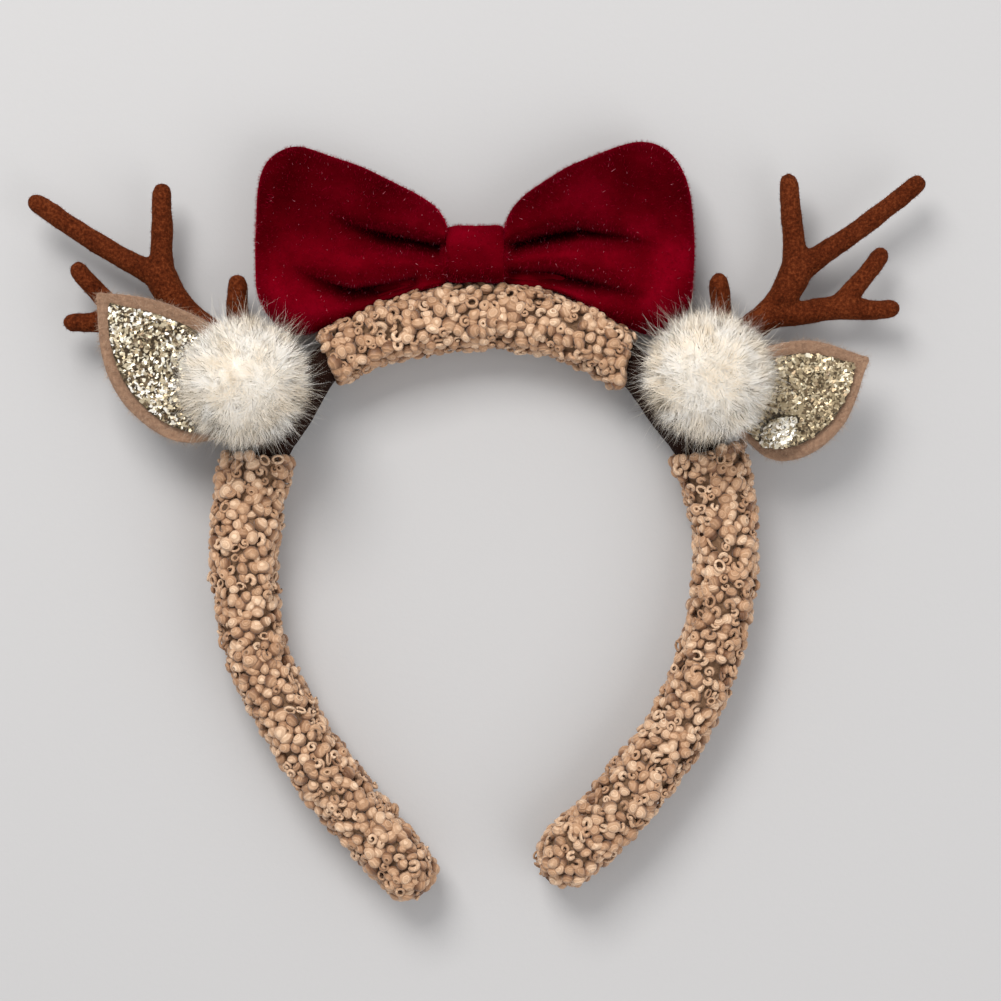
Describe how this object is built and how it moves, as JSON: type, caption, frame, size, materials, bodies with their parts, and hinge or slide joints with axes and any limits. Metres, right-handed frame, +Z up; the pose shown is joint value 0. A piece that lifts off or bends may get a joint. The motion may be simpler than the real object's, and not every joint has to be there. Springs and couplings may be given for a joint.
{
  "type": "reindeer antler headband",
  "caption": "Padded U-shaped headband in curly pile with branched flocked antlers, felt ears with glitter inlays, white fur balls and a folded velvet bow at its crown.",
  "frame": {"origin": "bottom centre of the headband's box, on the surface that it lies on", "axes": "+X towards the headband's right antler as seen from the front, +Y from the band's open end to the bow, +Z up, out of the front"},
  "size_m": [0.2502, 0.2116, 0.0502],
  "materials": {
    "band_cloth": "dark brown woven cloth over padding",
    "curly_pile": "tan curly looped pile",
    "red_velvet": "deep red velvet",
    "white_fur": "long cream-white fur",
    "brown_flock": "rust-brown flocked surface",
    "tan_felt": "brushed tan felt",
    "gold_glitter": "champagne glitter sheet"
  },
  "bodies": {
    "root": {"band_core": "band_cloth", "sleeve_crown": "curly_pile", "sleeve_left": "curly_pile", "sleeve_right": "curly_pile", "bow_wing_left": "red_velvet", "bow_wing_right": "red_velvet", "bow_knot": "red_velvet", "antler_left": "brown_flock", "antler_right": "brown_flock", "ear_left_felt": "tan_felt", "ear_right_felt": "tan_felt", "ear_left_glitter": "gold_glitter", "ear_right_glitter": "gold_glitter", "ear_right_fold": "gold_glitter", "pompom_left": "white_fur", "pompom_right": "white_fur"}
  },
  "joints": []
}
